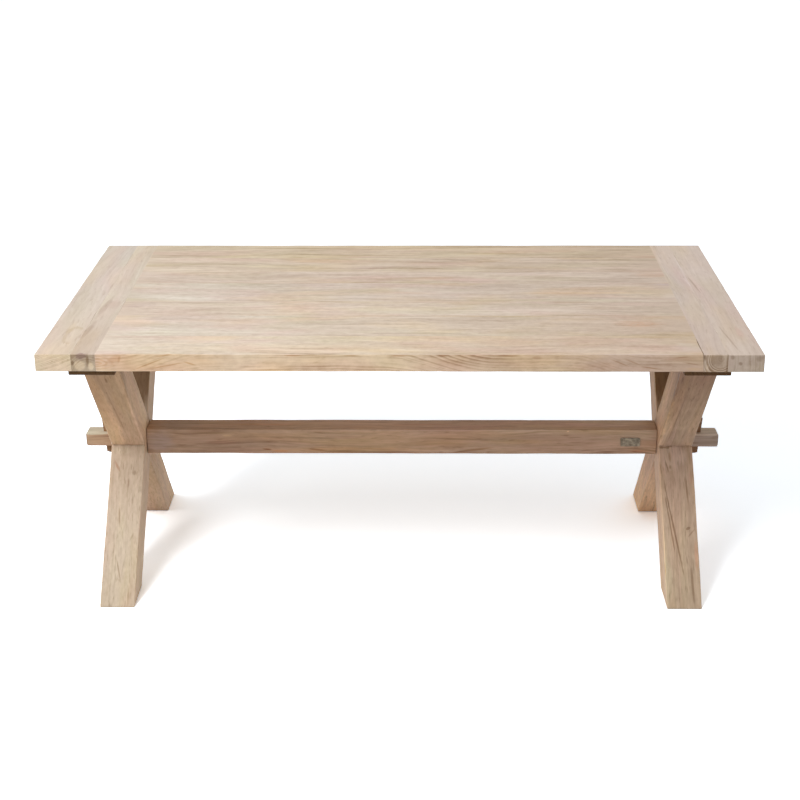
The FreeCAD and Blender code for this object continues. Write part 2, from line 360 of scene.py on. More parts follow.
def grain_space(net, given, point):
    """The point among the fibres, which wander across the grain and have their own length and width."""
    inputs = {"Vector": net.vector("MULTIPLY", point, SWAY_CYCLES), "Scale": 1.0, "Detail": 1.0}
    sway = net.node("ShaderNodeTexNoise", inputs).outputs["Color"]
    sway = net.vector("SUBTRACT", sway, Vector((0.5, 0.5, 0.5)))
    sway = net.vector("MULTIPLY", sway, SWAY_REACH)
    stretch = net.combine(given["Shortness"], given["Fineness"], given["Fineness"])
    return net.vector("MULTIPLY", net.vector("ADD", point, sway), stretch)


def wood_parts(net, point, grain):
    """Fibres of four widths, long dark and pale lines, flecks and ticks among them, pores and patches."""
    dark = net.ramp(figure(net, grain, "dark lines"), *LINE_LEVELS)
    pale = net.ramp(figure(net, grain, "pale lines"), *LINE_LEVELS)
    parts = {
        "middle": figure(net, grain, "middle"),
        "fine": figure(net, grain, "fine"),
        "lines": net.math("SUBTRACT", dark, pale),
        "flecks": net.ramp(figure(net, grain, "flecks"), *FLECK_LEVELS),
        "pores": net.ramp(figure(net, point, "pores"), *PORE_LEVELS),
        "patches": net.centred(figure(net, point, "patches")),
    }
    for name in ("broad", "wide", "ticks"):
        parts[name] = net.centred(figure(net, grain, name))
    return parts


def wood_tone(net, given, parts, side, end, from_end):
    """How dark the wood is, from 0 to 1."""
    ring_share = net.total(given["Rings"], ((side, given["Side Rings"]), (end, given["End Rings"])))
    streak = net.total(parts["wide"], (
        (parts["broad"], given["Broad"]),
        (net.centred(parts["middle"]), MIDDLE_SHARE),
        (net.centred(parts["fine"]), FINE_SHARE),
    ))
    tone = net.total(GROUND_TONE, (
        (parts["ring"], ring_share),
        (streak, given["Streaks"]),
        (parts["lines"], given["Lines"]),
        (parts["flecks"], given["Flecks"]),
        (parts["ticks"], given["Ticks"]),
        (parts["patches"], given["Blotches"]),
        (parts["pores"], PORE_SHARE),
    ))
    calm = net.math("MULTIPLY", net.ramp(from_end, *CALM_REACH), given["Calm Ends"])
    return net.math("MULTIPLY_ADD", net.math("SUBTRACT", CALM_TONE, tone), calm, tone, clamp=True)


def wood_colour(net, given, tone, grain, run, side, end):
    """The tone as a colour, with the tints in the grain, along the piece and of its sides and ends. On the
    legs the tint towards the top is painted shade and the tint of the sides painted light.
    """
    colour = net.mix(tone, given["Light"], given["Dark"])
    for name, tint in (("pink", PINK), ("olive", OLIVE), ("yellow", YELLOW)):
        share = net.ramp(figure(net, grain, name), *TINT_LEVELS)
        colour = net.mix(net.math("MULTIPLY", share, given["Tints"]), colour, tint, "MULTIPLY")
    tint = net.mix(net.ramp(run, -RUN_REACH, 0.0), given["Start"], given["Halfway"])
    tint = net.mix(net.ramp(run, 0.0, RUN_REACH), tint, given["Finish"])
    for share, tint in ((1.0, tint), (side, given["Side"]), (end, given["End"])):
        colour = net.mix(share, colour, tint, "MULTIPLY")
    return colour


def rub_edges(net, rims, middle, colour):
    """Handling rubs the edges a little lighter: there two of the three distances to a face are small."""
    u, v, w = rims
    second = net.math("MINIMUM", net.math("MAXIMUM", u, v), w)
    second = net.math("MAXIMUM", net.math("MINIMUM", u, v), second)
    rubbed = net.math("MULTIPLY", net.ramp(second, RUB_WIDTH, 0.0), net.ramp(middle, *RUB_LEVELS))
    return net.mix(net.math("MULTIPLY", rubbed, RUB_SHARE), colour, RUB_TINT, "SOFT_LIGHT")


def add_sockets(tree, way, sockets):
    for kind, names in sockets.items():
        for name in names:
            tree.interface.new_socket(name, in_out=way, socket_type="NodeSocket" + kind)


def make_wood_group():
    """Solid wood: growth rings round a pith line, fibres along the grain, pores, end grain, rubbed edges.
    Along, Across and Through are the piece's own axes, and u, v and w the places on them, in metres."""
    tree = bpy.data.node_groups.new("solid_wood", "ShaderNodeTree")
    add_sockets(tree, "INPUT", WOOD_INPUTS)
    add_sockets(tree, "OUTPUT", WOOD_OUTPUTS)
    net = Net(tree)
    given = net.node("NodeGroupInput", {}).outputs
    coordinates = net.node("ShaderNodeTexCoord", {}).outputs
    local = net.vector("SUBTRACT", coordinates["Object"], given["Middle"])
    axes = (given["Along"], given["Across"], given["Through"])
    place = [net.vector("DOT_PRODUCT", local, axis) for axis in axes]
    facing = [net.vector("DOT_PRODUCT", coordinates["Normal"], axis) for axis in axes]
    whole = net.combine(*place)
    point = net.vector("ADD", whole, given["Seed"])
    grain = grain_space(net, given, point)
    sizes = net.separate(given["Half"])
    rims = []
    for here, half in zip(place, sizes):
        rims.append(net.math("SUBTRACT", half, net.math("ABSOLUTE", here)))

    # End grain is where the surface faces along the piece; sides and the underside are less washed, and on
    # the legs their tint is painted light
    end = net.ramp(net.math("ABSOLUTE", facing[0]), *FACING_LEVELS)
    side = net.ramp(net.math("ABSOLUTE", facing[1]), *FACING_LEVELS)
    below = net.ramp(facing[2], *(-level for level in FACING_LEVELS))
    side = net.math("MAXIMUM", side, below)

    parts = wood_parts(net, point, grain)
    parts["ring"] = growth_rings(net, given, place, point, side)
    tone = wood_tone(net, given, parts, side, end, rims[0])
    along = net.math("DIVIDE", place[0], sizes[0])
    run = net.math("MULTIPLY_ADD", parts["patches"], RUN_SWING, along)
    colour = wood_colour(net, given, tone, grain, run, side, end)
    net.node("NodeGroupOutput", {
        "Colour": rub_edges(net, rims, parts["middle"], colour),
        "Roughness": net.total(ROUGH_LEVEL, [(parts[name], share) for name, share in ROUGHS.items()]),
        "Height": net.total(0.0, [(parts[name], share) for name, share in HEIGHTS.items()]),
        "Place": whole,
    })
    return tree


WOOD_GROUP = make_wood_group()
SEEDS = itertools.count(1)


class Stick:
    """A piece of wood: its axes along, across and through the grain, its middle, half sizes and seed."""

    def __init__(self, node, along, across):
        self.node = node
        self.seed = next(SEEDS)
        self.along = along.normalized()
        self.across = across.normalized()
        self.through = self.along.cross(self.across)
        if self.through.z < 0:
            self.through = -self.through
        self.axes = (self.along, self.across, self.through)
        points = [vertex.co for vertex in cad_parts[node].data.vertices]
        ends = []
        for axis in self.axes:
            reach = [point.dot(axis) for point in points]
            ends.append((min(reach), max(reach)))
        self.half = Vector([(high - low) / 2 for low, high in ends])
        self.middle = Vector()
        for axis, (low, high) in zip(self.axes, ends):
            self.middle += axis * (low + high) / 2

    def place(self, point):
        """A point of the frame as u, v, w."""
        return Vector([(point - self.middle).dot(axis) for axis in self.axes])


@dataclass
class Mark:
    """A stain, streak or knot on one piece, or a patch of painted light or shade: its middle in the frame,
    its reach along u, v and w, all in mm, its tint, how much of it shows, how far it slants across the
    piece and tilts through it, how soft and ragged its rim is and, for a knot, its rings."""

    middle: tuple
    reach: tuple
    tint: tuple
    share: float = 1.0
    slant: float = 0.0
    tilt: float = 0.0
    rings: float = 0.0
    soft: float = 0.7
    ragged: float = 0.5

    def paint_on(self, net, stick, place, colour):
        middle = stick.place(Vector(self.middle) * MM)
        reach = Vector(self.reach) * MM
        u, v, w = net.separate(net.vector("SUBTRACT", place, middle))
        v = net.math("MULTIPLY_ADD", u, -self.slant, v)
        w = net.math("MULTIPLY_ADD", u, -self.tilt, w)
        away = net.vector("LENGTH", net.vector("DIVIDE", net.combine(u, v, w), reach))
        stray = net.centred(figure(net, net.vector("ADD", place, middle), "rims"))
        away = net.math("MULTIPLY_ADD", stray, 2 * self.ragged, away)
        share = net.ramp(away, 1.0, 1.0 - self.soft, 0.0, self.share)
        if self.rings:
            wave = net.math("SINE", net.math("MULTIPLY", away, self.rings * math.tau))
            share = net.math("MULTIPLY", share, net.ramp(wave, *KNOT_LEVELS))
        return net.mix(share, colour, self.tint, "MULTIPLY")


def bend_along(net, stick, bends):
    """How far the rings on the sides are bent at each place along the piece: a sum of slopes."""
    if not bends:
        return 0.0
    point = net.node("ShaderNodeTexCoord", {}).outputs["Object"]
    u = net.vector("DOT_PRODUCT", net.vector("SUBTRACT", point, stick.middle), stick.along)
    total = 0.0
    for start, stop, rise in bends:
        total = net.math("ADD", total, net.ramp(u, start * MM, stop * MM, 0.0, rise * MM))
    return total


def wood_material(stick, look):
    material, net = empty_material(stick.node + "_wood")
    wood = net.node("ShaderNodeGroup", {}, node_tree=WOOD_GROUP)
    values = dict(
        look,
        Middle=stick.middle,
        Along=stick.along,
        Across=stick.across,
        Through=stick.through,
        Half=stick.half,
        Seed=Vector([stick.seed * step for step in SEED_STEPS]),
        Pith=Vector((0, *look["pith"])),
        Bend=bend_along(net, stick, look["bends"]),
    )
    for socket in wood.inputs:
        net.put(socket, values[socket.name])
    colour = wood.outputs["Colour"]
    for mark in look["marks"]:
        colour = mark.paint_on(net, stick, wood.outputs["Place"], colour)
    # Painted shade: the lowest few mm of a foot are darkened where it meets the floor
    if look["sole_shade"]:
        z = net.separate(net.node("ShaderNodeTexCoord", {}).outputs["Object"])[2]
        colour = net.mix(net.ramp(z, look["sole_shade"], 0.0, 0.0, SOLE_SHADE_SHARE), colour, DEEP, "MULTIPLY")
    bump = {"Height": wood.outputs["Height"], "Strength": BUMP_STRENGTH, "Distance": BUMP_DEPTH}
    surface = net.node("ShaderNodeBsdfPrincipled", {
        "Base Color": colour,
        "Roughness": wood.outputs["Roughness"],
        "Specular IOR Level": WOOD_GLOSS,
        "Normal": net.node("ShaderNodeBump", bump).outputs[0],
    })
    net.node("ShaderNodeOutputMaterial", {"Surface": surface.outputs[0]})
    return material


# How near a vertex is to count as part of a face, of a seam and of a rim
ON_FACE = 2 * MM
SEAM_REACH = 1.2 * MM
RIM_REACH = 4 * MM
# A seam is as wide as a hair and opens up to the gap in places
SEAM_HAIR = 0.05 * MM
SEAM_GAP = 0.6 * MM
# How far edges are rounded off, and how far they wander inwards
TOP_WEAR = {"round_off": 0.45 * MM, "wander": 0.6 * MM}
LEG_WEAR = {"round_off": 0.8 * MM, "wander": 0.8 * MM}
WEDGE_WEAR = {"round_off": 1.0 * MM, "wander": 0.4 * MM}
# The sway and the jitter of an edge: share, and steps in the noise for each metre, side and axis
EDGE_WAVES = ((1.0, 9, 3.3, 5.1), (0.6, 41, 1.7, 2.3))
WANDER_LEVEL = 0.35
# Edges this long and this sharp are rounded, in this many steps, and long faces are cut this often
LEAST_EDGE = 8 * MM
LEAST_ANGLE = math.radians(20)
ROUND_STEPS = 2
CUT_STEP = 25 * MM
# Points this near are one point, faces this flat one face, and folds up to the crease look smooth
SAME_POINT = 1e-6
SLIVER = 0.01 * MM
FLAT_ANGLE = math.radians(0.3)
CREASE_ANGLE = math.radians(32)
# The crack at the right end of the front plank: its start and width, its cuts and layers and how far in
# they reach, and how soon and how unevenly it opens
CRACK_START = -375 * MM
CRACK_GAP = 2.7 * MM
CRACK_CUTS = 6
CRACK_LAYERS = 4
CRACK_ZONE = 12 * MM
CRACK_SLOPE = 5
CRACK_LEVEL = 0.75
CRACK_SWING = 0.5
CRACK_CYCLES = 60
# Where the stretcher's shoulders meet the legs, and how far short of them they stop
SHOULDER = 722.5 * MM
SHOULDER_GAP = 1.6 * MM


def at_seam(edge, stick, seams):
    """Both ends of the edge lie at one of the piece's seams."""
    ends = [stick.place(vertex.co) for vertex in edge.verts]
    for index, side in seams:
        if all(stick.half[index] - side * end[index] < SEAM_REACH for end in ends):
            return True
    return False


def soften_edges(bm, stick, width, seams):
    """Rounds the sharp edges, apart from those at a seam."""
    sharp = []
    for edge in bm.edges:
        if not edge.is_manifold or edge.calc_length() < LEAST_EDGE or at_seam(edge, stick, seams):
            continue
        if edge.calc_face_angle_signed() > LEAST_ANGLE:
            sharp.append(edge)
    shape = {"segments": ROUND_STEPS, "profile": 0.5, "affect": "EDGES", "clamp_overlap": False}
    bmesh.ops.bevel(bm, geom=sharp, offset=width, **shape)


def cut_across(bm, stick):
    """Cuts the long faces across the grain, so that their edges can wander."""
    length = 2 * stick.half.x
    cuts = int(length / CUT_STEP)
    for index in range(1, cuts):
        point = stick.middle + stick.along * (length * index / cuts - stick.half.x)
        geometry = bm.verts[:] + bm.edges[:] + bm.faces[:]
        bmesh.ops.bisect_plane(bm, geom=geometry, dist=SAME_POINT, plane_co=point, plane_no=stick.along)


def wander_edges(bm, stick, amount, seams):
    """Moves the free edges inwards, as a plane and wear leave them. At a seam the edge goes out to the
    neighbour instead, up to a hair and the gap that the seam has in places."""
    for vertex in bm.verts:
        place = stick.place(vertex.co)
        for index in (0, 1, 2):
            here = place[index]
            half = stick.half[index]
            axis = stick.axes[index]
            side = 1 if here > 0 else -1
            run = place.y if index == 0 else place.x
            drift = 0.0
            for share, per_metre, per_side, per_axis in EDGE_WAVES:
                point = (run * per_metre, side * per_side + stick.seed, index * per_axis)
                drift += share * noise.noise(Vector(point))
            if (index, side) in seams:
                if half - abs(here) < SEAM_REACH:
                    hair = SEAM_HAIR + seams[index, side] * max(0.0, drift)
                    vertex.co += axis * (side * (half - hair) - here)
            elif index and half - abs(here) < RIM_REACH:
                vertex.co -= axis * side * amount * min(1.0, max(0.0, drift + WANDER_LEVEL))


def keep_inside(bm, node):
    """No vertex leaves the box of the CAD piece."""
    low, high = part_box(node)
    for vertex in bm.verts:
        for index in (0, 1, 2):
            vertex.co[index] = min(max(vertex.co[index], low[index]), high[index])


def cut_end(bm, end_x, point, normal):
    """Cuts the faces near a plank's right end."""
    faces = [face for face in bm.faces if face.calc_center_median().x > end_x - CRACK_ZONE]
    edges = dict.fromkeys(edge for face in faces for edge in face.edges)
    verts = dict.fromkeys(vertex for face in faces for vertex in face.verts)
    geometry = [*verts, *edges, *faces]
    bmesh.ops.bisect_plane(bm, geom=geometry, dist=SAME_POINT, plane_co=point, plane_no=normal)


def open_crack(bm, end_x, from_y, to_y):
    """Opens the seam at one corner of a plank: between two places its end draws back from the board beside
    it, most of all at the top."""
    heights = [vertex.co.z for vertex in bm.verts]
    bottom = min(heights)
    thickness = max(heights) - bottom
    for step in range(CRACK_CUTS):
        cut_end(bm, end_x, (0, from_y + (to_y - from_y) * step / CRACK_CUTS, 0), Y_AXIS)
    for step in range(1, CRACK_LAYERS):
        cut_end(bm, end_x, (0, 0, bottom + thickness * step / CRACK_LAYERS), Z_AXIS)
    for vertex in bm.verts:
        share = (vertex.co.y - from_y) / (to_y - from_y)
        if vertex.co.x > end_x - ON_FACE and share > 0:
            uneven = CRACK_LEVEL + CRACK_SWING * noise.noise(Vector((vertex.co.y * CRACK_CYCLES, 0, 0)))
            uneven *= ((vertex.co.z - bottom) / thickness) ** 2
            vertex.co.x -= CRACK_GAP * uneven * min(1.0, CRACK_SLOPE * share)


def draw_back_shoulders(bm):
    for vertex in bm.verts:
        if abs(abs(vertex.co.x) - SHOULDER) < ON_FACE:
            vertex.co.x -= math.copysign(SHOULDER_GAP, vertex.co.x)


def refined_piece(stick, look, body, slot, seams, round_off, wander):
    """A worn copy of a CAD piece, which takes its place."""
    bm = bmesh.new()
    bm.from_mesh(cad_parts[stick.node].data)
    bmesh.ops.remove_doubles(bm, verts=bm.verts, dist=SAME_POINT)
    bmesh.ops.dissolve_limit(bm, angle_limit=FLAT_ANGLE, verts=bm.verts, edges=bm.edges)
    soften_edges(bm, stick, round_off, seams)
    cut_across(bm, stick)
    wander_edges(bm, stick, wander, seams)
    if stick.node == "top_plank_7":
        open_crack(bm, stick.half.x, CRACK_START, -cad_high[1])
    if stick.node == "stretcher":
        draw_back_shoulders(bm)
    keep_inside(bm, stick.node)
    bmesh.ops.connect_verts_concave(bm, faces=bm.faces)
    bmesh.ops.dissolve_degenerate(bm, dist=SLIVER, edges=bm.edges)
    mesh = bpy.data.meshes.new(stick.node + "_wood")
    bm.to_mesh(mesh)
    bm.free()
    mesh.materials.append(wood_material(stick, look))
    mesh.shade_smooth()
    mesh.set_sharp_from_angle(angle=CREASE_ANGLE)
    piece = add_object(stick.node + "_wood", mesh)
    even = piece.modifiers.new("even_normals", "WEIGHTED_NORMAL")
    even.keep_sharp = True
    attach(piece, body)
    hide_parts(stick.node)


# The ways that the two legs of a trestle run, from the foot up
LEAN_BACK = Vector((0, 0.663, 0.749))
LEAN_FRONT = Vector((0, -0.663, 0.749))

TOP_LOOK = {
    "Light": paint(219, 203, 186),
    "Dark": paint(160, 136, 112),
    "Start": PLAIN,
    "Halfway": PLAIN,
    "Finish": PLAIN,
    "Side": (0.99, 0.94, 0.84),
    "End": PLAIN,
    "Spacing": 0.009,
    "Taper": 0.0,
    "Fineness": 1.0,
    "Shortness": 1.0,
    "Rings": 0.12,
    "Side Rings": 0.62,
    "End Rings": 0.45,
    "Streaks": 0.60,
    "Broad": 0.85,
    "Lines": 0.27,
    "Flecks": 0.16,
    "Ticks": 0.5,
    "Calm Ends": 0.0,
    "Blotches": 0.34,
    "Tints": 0.9,
    "pith": (0.0, -0.25),
    "bends": (),
    "marks": (),
    "sole_shade": 0.0,
}
END_LOOK = dict(TOP_LOOK, Lines=0.10, Streaks=0.22, Ticks=0.22, Blotches=0.5, Tints=0.7, pith=(0.02, 0.06))
END_LOOK["Side Rings"] = 0.2
LEG_LOOK = dict(
    TOP_LOOK,
    Light=paint(212, 192, 170),
    Dark=paint(140, 110, 82),
    Side=PLAIN,
    End=(0.8, 0.76, 0.72),
    Taper=0.05,
    Fineness=1.7,
    Shortness=1.4,
    Rings=0.10,
    Streaks=0.24,
    Lines=0.06,
    Flecks=0.32,
    Ticks=0.6,
    Blotches=0.6,
    Tints=0.7,
    pith=(0.07, 0.05),
    sole_shade=4 * MM,
)
LEG_LOOK["Side Rings"] = 0.0
STRETCHER_LOOK = dict(
    LEG_LOOK,
    Light=paint(216, 180, 152),
    Dark=paint(136, 98, 71),
    Taper=0.0,
    Fineness=1.15,
    Shortness=1.0,
    Rings=0.1,
    Streaks=0.62,
    Lines=0.34,
    Flecks=0.25,
    Ticks=0.25,
    Blotches=0.3,
    Tints=1.0,
    Start=(0.96, 0.97, 0.95),
    Halfway=(0.97, 1.0, 1.04),
    Finish=(0.96, 1.04, 1.08),
    pith=(0.05, -0.06),
)
# The battens are painted dark: their colour stands in for the shade under the table top
BATTEN_SHADE_LOOK = dict(LEG_LOOK, Light=paint(103, 76, 49), Dark=paint(60, 40, 25), End=PLAIN, pith=(0.1, 0.1))
WEDGE_LOOK = dict(LEG_LOOK, Light=paint(152, 118, 90), Dark=paint(88, 58, 40), pith=(0.03, 0.03))
HIDDEN_LOOK = dict(LEG_LOOK, Light=paint(206, 172, 130), Dark=paint(140, 104, 70))

# The tints of each plank at its left end, middle and right end, from the back of the table to the front
PLANK_TINTS = (
    ((1.01, 1.0, 0.95), (0.97, 0.935, 0.87), (0.94, 0.895, 0.82)),
    ((1.03, 1.025, 0.99), (0.98, 0.955, 0.925), (0.93, 0.89, 0.865)),
    ((1.0, 0.99, 1.01), (0.97, 0.95, 0.95), (0.965, 0.945, 0.96)),
    ((0.985, 1.03, 1.05), (0.96, 0.955, 0.985), (0.955, 0.95, 0.955)),
    ((0.97, 0.955, 0.96), (1.04, 1.045, 1.07), (0.91, 0.885, 0.875)),
    ((1.0, 1.045, 1.075), (0.965, 0.96, 0.95), (0.92, 0.875, 0.85)),
    ((1.06, 1.095, 1.12), (1.045, 1.04, 1.0), (0.945, 0.885, 0.85)),
)
# The tints of each end board at the front, in the middle and at the back
END_TINTS = {
    "left_end_inner_board": ((0.88, 0.87, 0.885), (1.01, 1.05, 1.075), (1.06, 1.10, 1.09)),
    "left_end_outer_board": ((0.96, 0.96, 0.97), (1.0, 1.03, 1.09), (0.99, 1.04, 1.11)),
    "right_end_inner_board": ((0.92, 0.90, 0.95), (1.0, 1.01, 1.13), (1.03, 1.01, 1.04)),
    "right_end_outer_board": ((0.93, 0.92, 0.96), (1.02, 1.015, 1.09), (1.07, 1.07, 1.15)),
}
# The end grain of each end board: where its pith lies and how far apart its rings are, in metres, how
# strong they are, and its tint
END_GRAINS = {
    "left_end_inner_board": ((0.01, -0.035), 0.009, 0.45, (0.725, 0.705, 0.64)),
    "left_end_outer_board": ((-0.05, 0.22), 0.0055, 0.6, (1.03, 1.02, 0.90)),
    "right_end_inner_board": ((0.012, 0.012), 0.009, 0.9, (0.815, 0.785, 0.71)),
    "right_end_outer_board": ((-0.12, 0.0), 0.009, 0.45, (0.78, 0.76, 0.73)),
}
# Light and dark of each leg, its tints at the foot and at the crossing, the painted shade at its top under
# the table top, and the painted light on its sides
LEG_TONES_AND_PAINTED_LIGHT = {
    "left_leg_front": (paint(212, 191, 169), paint(142, 114, 86),
                       (1.03, 1.09, 1.12), (0.93, 0.925, 0.92), (0.82, 0.72, 0.62), (1.25, 1.20, 1.15)),
    "left_leg_back": (paint(209, 181, 151), paint(138, 105, 74),
                      (1.15, 1.15, 1.22), (0.86, 0.84, 0.825), (0.58, 0.505, 0.44), (1.22, 1.24, 1.26)),
    "right_leg_front": (paint(197, 172, 149), paint(112, 86, 66),
                        (1.06, 1.09, 1.07), (1.19, 1.16, 1.19), (0.62, 0.54, 0.44), (1.32, 1.31, 1.30)),
    "right_leg_back": (paint(205, 178, 155), paint(118, 92, 72),
                       (1.20, 1.13, 1.02), (0.68, 0.67, 0.70), (0.365, 0.31, 0.30), (1.60, 1.57, 1.48)),
}

# Patches of the top: middle x and y, half length and half width in mm, tint and how much of it shows
TOP_PATCHES = (
    (0, 470, 700, 34, YELLOW, 0.6),
    (-215, 325, 200, 28, RUST, 0.6),
    (-140, 380, 170, 12, PALE, 0.5),
    (410, 352, 100, 24, PALE, 0.5),
    (-600, 205, 170, 26, RUST, 0.45),
    (-90, 252, 90, 14, MAUVE, 0.8),
    (330, 200, 170, 18, PALE, 0.8),
    (160, 150, 160, 26, PINK, 0.7),
    (0, 109, 250, 6, STAIN, 0.9),
    (580, 117, 120, 6, STAIN, 0.8),
    (-510, -32, 270, 30, PALE, 0.8),
    (500, 12, 220, 14, YELLOW, 0.9),
    (-580, -80, 210, 12, STAIN, 0.7),
    (0, -130, 250, 30, YELLOW, 0.5),
    (620, -155, 150, 9, STAIN, 0.8),
    (270, -196, 230, 9, YELLOW, 0.8),
    (-600, -215, 120, 14, STAIN, 0.6),
    (200, -258, 170, 40, STAIN, 0.4),
    (622, -258, 90, 46, RUST, 0.9),
    (40, -312, 160, 28, PALE, 0.9),
    (-620, -310, 150, 30, PALE, 0.5),
    (280, -405, 130, 36, RUST, 0.6),
    (-300, -455, 480, 46, YELLOW, 0.6),
    (620, -364, 130, 9, YELLOW, 0.8),
    (640, -450, 130, 40, PINK, 0.7),
    (-700, 365, 60, 7, STAIN, 0.7),
    (-40, 364, 70, 6, STAIN, 0.7),
    (270, 358, 60, 6, STAIN, 0.8),
    (550, 366, 60, 6, STAIN, 0.7),
    (-190, 266, 200, 6, STAIN, 0.6),
    (715, 184, 70, 30, RUST, 0.9),
    (725, -448, 55, 50, (1.06, 1.10, 1.18), 1.0),
    (-705, -100, 80, 26, (0.92, 0.90, 0.92), 1.0),
    (-705, -240, 90, 40, (1.08, 1.07, 1.08), 1.0),
    (-700, -345, 90, 14, PALE, 0.8),
    (742, 95, 46, 26, (1.0, 1.02, 1.10), 1.0),
    (742, -15, 40, 40, (1.04, 1.06, 1.11), 1.0),
    (680, -372, 130, 18, (0.93, 0.905, 0.875), 1.0),
)
# Where along the front edge its rings start and stop to bend, and how far they rise, in mm
FRONT_EDGE_BENDS = ((-700, -470, -55), (-30, 240, 60), (430, 600, 40))
# Figure of the front edge: middle x and z, reach along and up in mm, tint and, where they aren't the usual
# ones, share and tilt
FRONT_FIGURE = (
    (-704, 762, 22, 12, (0.94, 0.87, 0.82), 1.0, 0.4),
    (-690, 763, 6, 10, (0.84, 0.75, 0.66), 1.0, 0.9),
    (-615, 751, 54, 2.5, (0.78, 0.67, 0.56), 1.0, 0.40),
    (-576, 745, 58, 2.5, (0.82, 0.72, 0.62), 1.0, 0.19),
    (-580, 772, 30, 3, (0.82, 0.71, 0.60), 1.0, 0.15),
    (-515, 751, 20, 3.5, (0.80, 0.68, 0.56), 1.0, -0.3),
    (-330, 735, 76, 2, (0.80, 0.70, 0.60), 1.0, 0.03),
    (-259, 772, 32, 2.5, (0.72, 0.60, 0.50)),
    (-117, 772, 28, 2.5, (0.72, 0.61, 0.52)),
    (0, 772, 32, 2.5, (0.72, 0.59, 0.51)),
    (109, 772, 18, 3, (0.66, 0.54, 0.44)),
    (262, 772, 38, 2.5, (0.76, 0.65, 0.57)),
    (340, 768, 15, 6, (0.82, 0.76, 0.72)),
    (544, 754, 30, 2.5, (0.80, 0.72, 0.64), 1.0, -0.41),
    (576, 756, 30, 2.5, (0.84, 0.77, 0.70), 1.0, -0.41),
    (620, 741, 28, 2.5, (0.76, 0.67, 0.58), 1.0, -0.15),
    (694, 768, 28, 2.5, (0.76, 0.67, 0.60), 1.0, 0.1),
    (720, 752, 28, 2.5, (0.82, 0.75, 0.70), 1.0, -0.18),
    (690, 765, 50, 8, (0.95, 0.89, 0.89)),
    (725, 738, 30, 6, (1.06, 1.05, 0.96)),
    (-600, 752, 260, 60, (0.96, 0.885, 0.82)),
    (200, 752, 230, 60, (0.95, 0.92, 0.955)),
    (640, 752, 330, 60, (0.885, 0.885, 0.975)),
)
TOP_KNOT = Mark((626, -262, 775), (55, 30, 12), RUST, 0.9, rings=2.5)
FRONT_KNOT = Mark((-748, -500, 752), (66, 9, 26), (0.88, 0.79, 0.70), 0.8, rings=3.5, ragged=0.3)
END_MARKS = {
    "left_end_inner_board": (
        Mark((-760, 220, 775), (280, 4, 6), PALE, slant=-0.045, ragged=0.2),
        Mark((-796, -120, 775), (110, 12, 8), (0.84, 0.80, 0.78), slant=0.07, ragged=0.4),
        Mark((-802, -310, 775), (95, 11, 8), (0.84, 0.80, 0.78), slant=0.07, ragged=0.4),
        Mark((-772, -95, 775), (48, 22, 8), (0.93, 0.89, 0.88)),
        Mark((-789, -500, 746), (15, 17, 16), (1.4, 1.42, 1.38), soft=0.4, ragged=0.2),
        Mark((-761, -500, 743), (15, 9, 13), (1.46, 1.50, 1.48), soft=0.5, ragged=0.2),
        Mark((-784, -500, 771), (15, 17, 10), (0.64, 0.56, 0.58), soft=0.5),
        Mark((-769, -500, 760), (15, 6, 20), DEEP),
        Mark((-753, -500, 765), (15, 4, 14), STAIN),
        Mark((-806, -500, 753), (15, 6, 9), DEEP),
    ),
    "left_end_outer_board": (
        Mark((-834, -352, 775), (76, 26, 20), (0.90, 0.87, 0.80), soft=0.2, ragged=0.25),
        Mark((-829, -358, 775), (66, 21, 20), (1.12, 1.15, 1.24), soft=0.3, ragged=0.25),
        Mark((-850, -290, 775), (60, 14, 8), (1.0, 0.985, 0.91), 0.9),
    ),
    "right_end_inner_board": (
        Mark((807, 185, 775), (250, 4, 6), PALE, ragged=0.2),
        Mark((766, 270, 775), (190, 14, 6), PALE, 0.5),
        Mark((783, -500, 761), (15, 21, 20), (0.74, 0.70, 0.66), soft=0.5, ragged=0.4),
        Mark((759, -500, 740), (15, 5, 16), (1.25, 1.25, 1.2), 0.8, ragged=0.3),
        Mark((752, -500, 768), (15, 5, 12), DEEP),
        Mark((808, -500, 752), (15, 4, 40), DEEP, 0.9, ragged=0.3),
    ),
    "right_end_outer_board": (
        Mark((820, 88, 775), (95, 4, 6), (0.76, 0.71, 0.67), slant=-0.068, ragged=0.3),
        Mark((833, -380, 775), (120, 3.5, 6), (0.80, 0.76, 0.73), slant=-0.09, ragged=0.3),
        Mark((868, -330, 775), (60, 12, 6), PINK),
        Mark((820, -500, 769), (15, 7, 8), (0.72, 0.67, 0.63)),
        Mark((840, -500, 752), (15, 7, 6), (0.66, 0.60, 0.56)),
        Mark((886, -500, 766), (15, 14, 11), (0.75, 0.72, 0.68)),
        Mark((868, -500, 742), (15, 26, 8), (1.08, 1.09, 1.09)),
        Mark((826, -500, 742), (15, 3, 14), STAIN, 0.9),
    ),
}
# Painted light: the sides of the upper limbs that face each other are painted lighter
PAINTED_LIGHT_INNER_SIDES = {
    "left_leg_back": Mark((-722.5, -135, 502), (340, 14, 70), (1.40, 1.475, 1.60), soft=0.5),
    "right_leg_back": Mark((722.5, -135, 502), (340, 14, 70), (1.36, 1.34, 1.22), soft=0.5),
}
